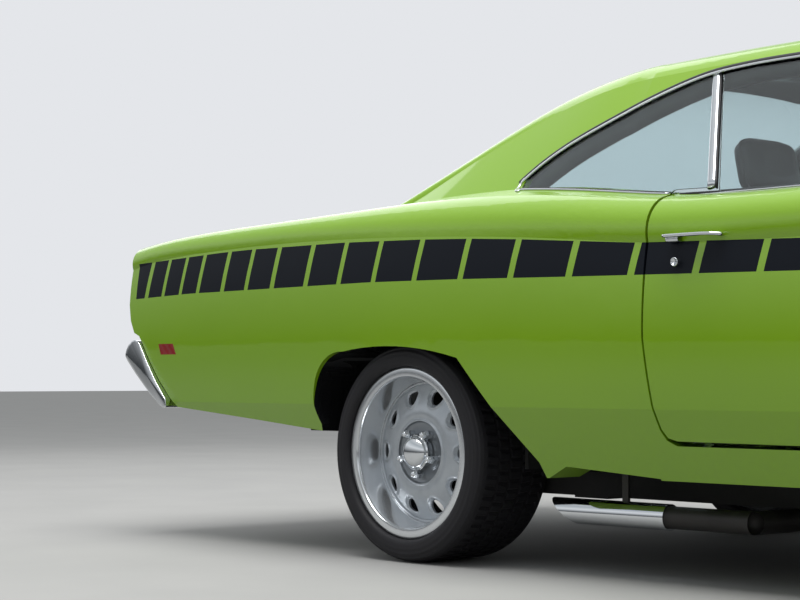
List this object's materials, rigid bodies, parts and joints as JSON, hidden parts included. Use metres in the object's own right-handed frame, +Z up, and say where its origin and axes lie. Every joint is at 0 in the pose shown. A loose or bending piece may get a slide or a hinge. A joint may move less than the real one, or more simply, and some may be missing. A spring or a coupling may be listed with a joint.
{
  "type": "two-door hardtop muscle car",
  "caption": "Two-door hardtop car with free-rolling steered wheels, opening doors, hood and trunk lid, glazed hollow cabin and slotted deep-dish wheels.",
  "frame": {"origin": "on the ground, in the middle of the car's length and width", "axes": "+X forward, +Y to the car's left, +Z up"},
  "size_m": [5.15, 1.97, 1.3664],
  "materials": {
    "body_paint": "gloss lime green metallic",
    "chassis_black": "satin black",
    "cast_iron": "as cast",
    "clear_glass": "clear with a slight tint",
    "chrome": "polished",
    "black_plastic": "satin",
    "lamp_glass": "ribbed clear",
    "red_lens": "gloss",
    "seat_vinyl": "black vinyl",
    "steel": "dull",
    "wheel_metal": "silver with a bright lip",
    "tyre_rubber": "matt"
  },
  "bodies": {
    "body": {"floor_pan": "chassis_black", "chassis_frame": "chassis_black", "rockers": "body_paint", "quarter_right": "body_paint", "quarter_left": "body_paint", "fender_right": "body_paint", "fender_left": "body_paint", "inner_fenders": "chassis_black", "roof": "body_paint", "cowl": "body_paint", "tail_panel": "body_paint", "nose_panel": "body_paint", "windshield": "clear_glass", "rear_window": "clear_glass", "quarter_glass": "clear_glass", "window_dividers": "chrome", "front_bumper": "chrome", "rear_bumper": "chrome", "grille": "black_plastic", "headlamps": "lamp_glass", "tail_lamps": "red_lens", "side_markers": "red_lens", "dashboard": "black_plastic", "steering_wheel": "black_plastic", "front_seats": "seat_vinyl", "rear_seat": "seat_vinyl", "engine_block": "cast_iron", "driveline": "chassis_black", "exhaust": "steel", "exhaust_tips": "chrome", "fuel_tank": "chassis_black", "rear_axle": "chassis_black", "door_hinges": "chassis_black"},
    "door_left": {"door_left": "body_paint", "door_glass_left": "clear_glass", "door_trim_left": "chrome"},
    "knuckle_left": {"knuckle_left": "cast_iron"},
    "wheel_front_left": {"rim_front_left": "wheel_metal", "tyre_front_left": "tyre_rubber"},
    "wheel_rear_left": {"rim_rear_left": "wheel_metal", "tyre_rear_left": "tyre_rubber"},
    "door_right": {"door_right": "body_paint", "door_glass_right": "clear_glass", "door_trim_right": "chrome"},
    "knuckle_right": {"knuckle_right": "cast_iron"},
    "wheel_front_right": {"rim_front_right": "wheel_metal", "tyre_front_right": "tyre_rubber"},
    "wheel_rear_right": {"rim_rear_right": "wheel_metal", "tyre_rear_right": "tyre_rubber"},
    "hood": {"hood": "body_paint"},
    "trunk_lid": {"trunk_lid": "body_paint"}
  },
  "joints": [
    {"name": "door_left_hinge", "type": "hinge", "parent": "body", "child": "door_left", "pos_m": [1.023, 0.939, 0.6], "axis": [0, 0, -1], "range_deg": [0, 62]},
    {"name": "steer_left", "type": "hinge", "parent": "body", "child": "knuckle_left", "pos_m": [1.723, 0.76, 0.3], "axis": [0, 0, 1], "range_deg": [-28, 28]},
    {"name": "wheel_front_left_spin", "type": "hinge", "parent": "knuckle_left", "child": "wheel_front_left", "pos_m": [1.723, 0.8, 0.3], "axis": [0, 1, 0], "continuous": true},
    {"name": "wheel_rear_left_spin", "type": "hinge", "parent": "body", "child": "wheel_rear_left", "pos_m": [-1.223, 0.8, 0.3], "axis": [0, 1, 0], "continuous": true},
    {"name": "door_right_hinge", "type": "hinge", "parent": "body", "child": "door_right", "pos_m": [1.023, -0.939, 0.6], "axis": [0, 0, 1], "range_deg": [0, 62]},
    {"name": "steer_right", "type": "hinge", "parent": "body", "child": "knuckle_right", "pos_m": [1.723, -0.76, 0.3], "axis": [0, 0, 1], "range_deg": [-28, 28]},
    {"name": "wheel_front_right_spin", "type": "hinge", "parent": "knuckle_right", "child": "wheel_front_right", "pos_m": [1.723, -0.8, 0.3], "axis": [0, 1, 0], "continuous": true},
    {"name": "wheel_rear_right_spin", "type": "hinge", "parent": "body", "child": "wheel_rear_right", "pos_m": [-1.223, -0.8, 0.3], "axis": [0, 1, 0], "continuous": true},
    {"name": "hood_hinge", "type": "hinge", "parent": "body", "child": "hood", "pos_m": [1.078, 0, 0.968], "axis": [0, -1, 0], "range_deg": [0, 50]},
    {"name": "trunk_hinge", "type": "hinge", "parent": "body", "child": "trunk_lid", "pos_m": [-1.566, 0, 1.016], "axis": [0, 1, 0], "range_deg": [0, 60]}
  ],
  "couplings": [
    {"joint": "steer_right", "follows": "steer_left", "ratio": 1}
  ]
}
